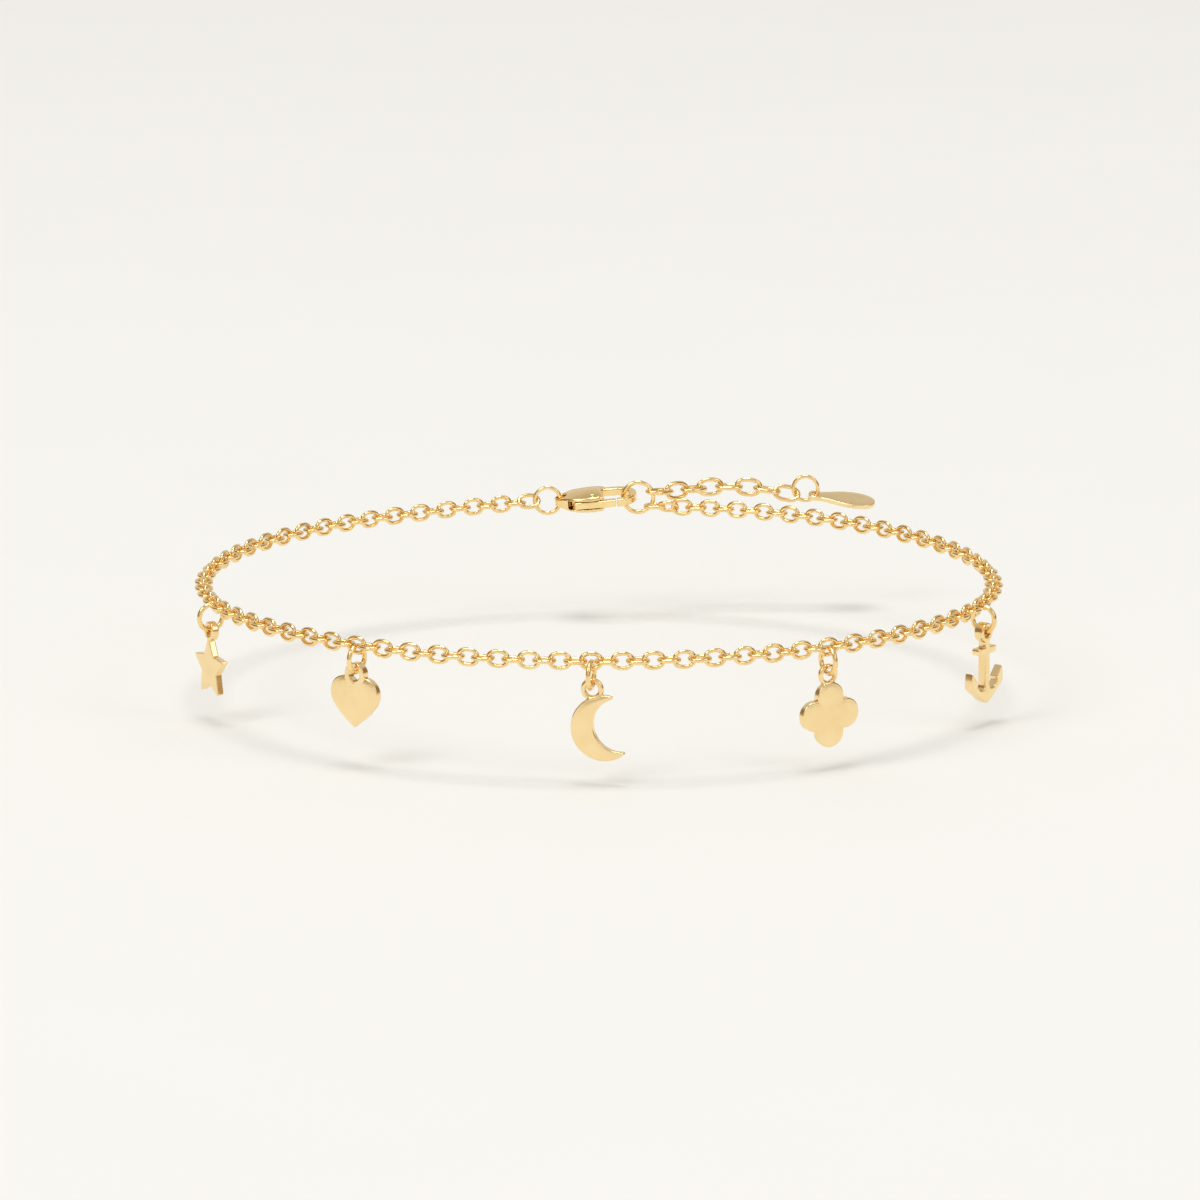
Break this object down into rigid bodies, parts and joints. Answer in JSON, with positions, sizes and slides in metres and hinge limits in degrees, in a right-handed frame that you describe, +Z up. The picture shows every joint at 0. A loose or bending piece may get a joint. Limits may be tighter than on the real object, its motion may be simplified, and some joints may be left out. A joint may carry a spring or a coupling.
{
  "type": "charm anklet",
  "caption": "Cable-chain anklet in its worn loop, with star, heart, moon, clover and anchor charms on jump rings, a sprung lobster clasp, and an extender chain with a bare tag.",
  "frame": {"origin": "centre of the chain's loop at the height of the chain, where the ankle passes through", "axes": "+Z up along the ankle, -Y the front with the middle charm, +Y the rear with the clasp, +X to the right of someone facing the front"},
  "size_m": [0.0782, 0.0763, 0.0122],
  "materials": {
    "gold_wire": "bright polished pale gold plating on brass wire",
    "gold_charm": "polished pale gold plating with soft rolled edges",
    "gold_clasp": "polished gold plating on a cast clasp"
  },
  "bodies": {
    "root": {"main_chain": "gold_wire", "clasp_ring": "gold_wire", "end_ring": "gold_wire", "clasp_body": "gold_clasp", "clasp_pin": "gold_clasp", "extender_chain": "gold_wire", "tag_ring": "gold_wire", "tag": "gold_charm", "star_ring": "gold_wire", "star_charm": "gold_charm", "heart_ring": "gold_wire", "heart_charm": "gold_charm", "moon_ring": "gold_wire", "moon_charm": "gold_charm", "clover_ring": "gold_wire", "clover_charm": "gold_charm", "anchor_ring": "gold_wire", "anchor_charm": "gold_charm"},
    "lever": {"clasp_lever": "gold_clasp"}
  },
  "joints": [
    {"name": "lever_hinge", "type": "hinge", "parent": "root", "child": "lever", "pos_m": [-0.00056, 0.033, 0.00044], "axis": [-0.0854, -0.1421, 0.9862], "range_deg": [0, 22], "stiffness_Nm_per_rad": 0.0004, "springref_deg": -20.05}
  ]
}
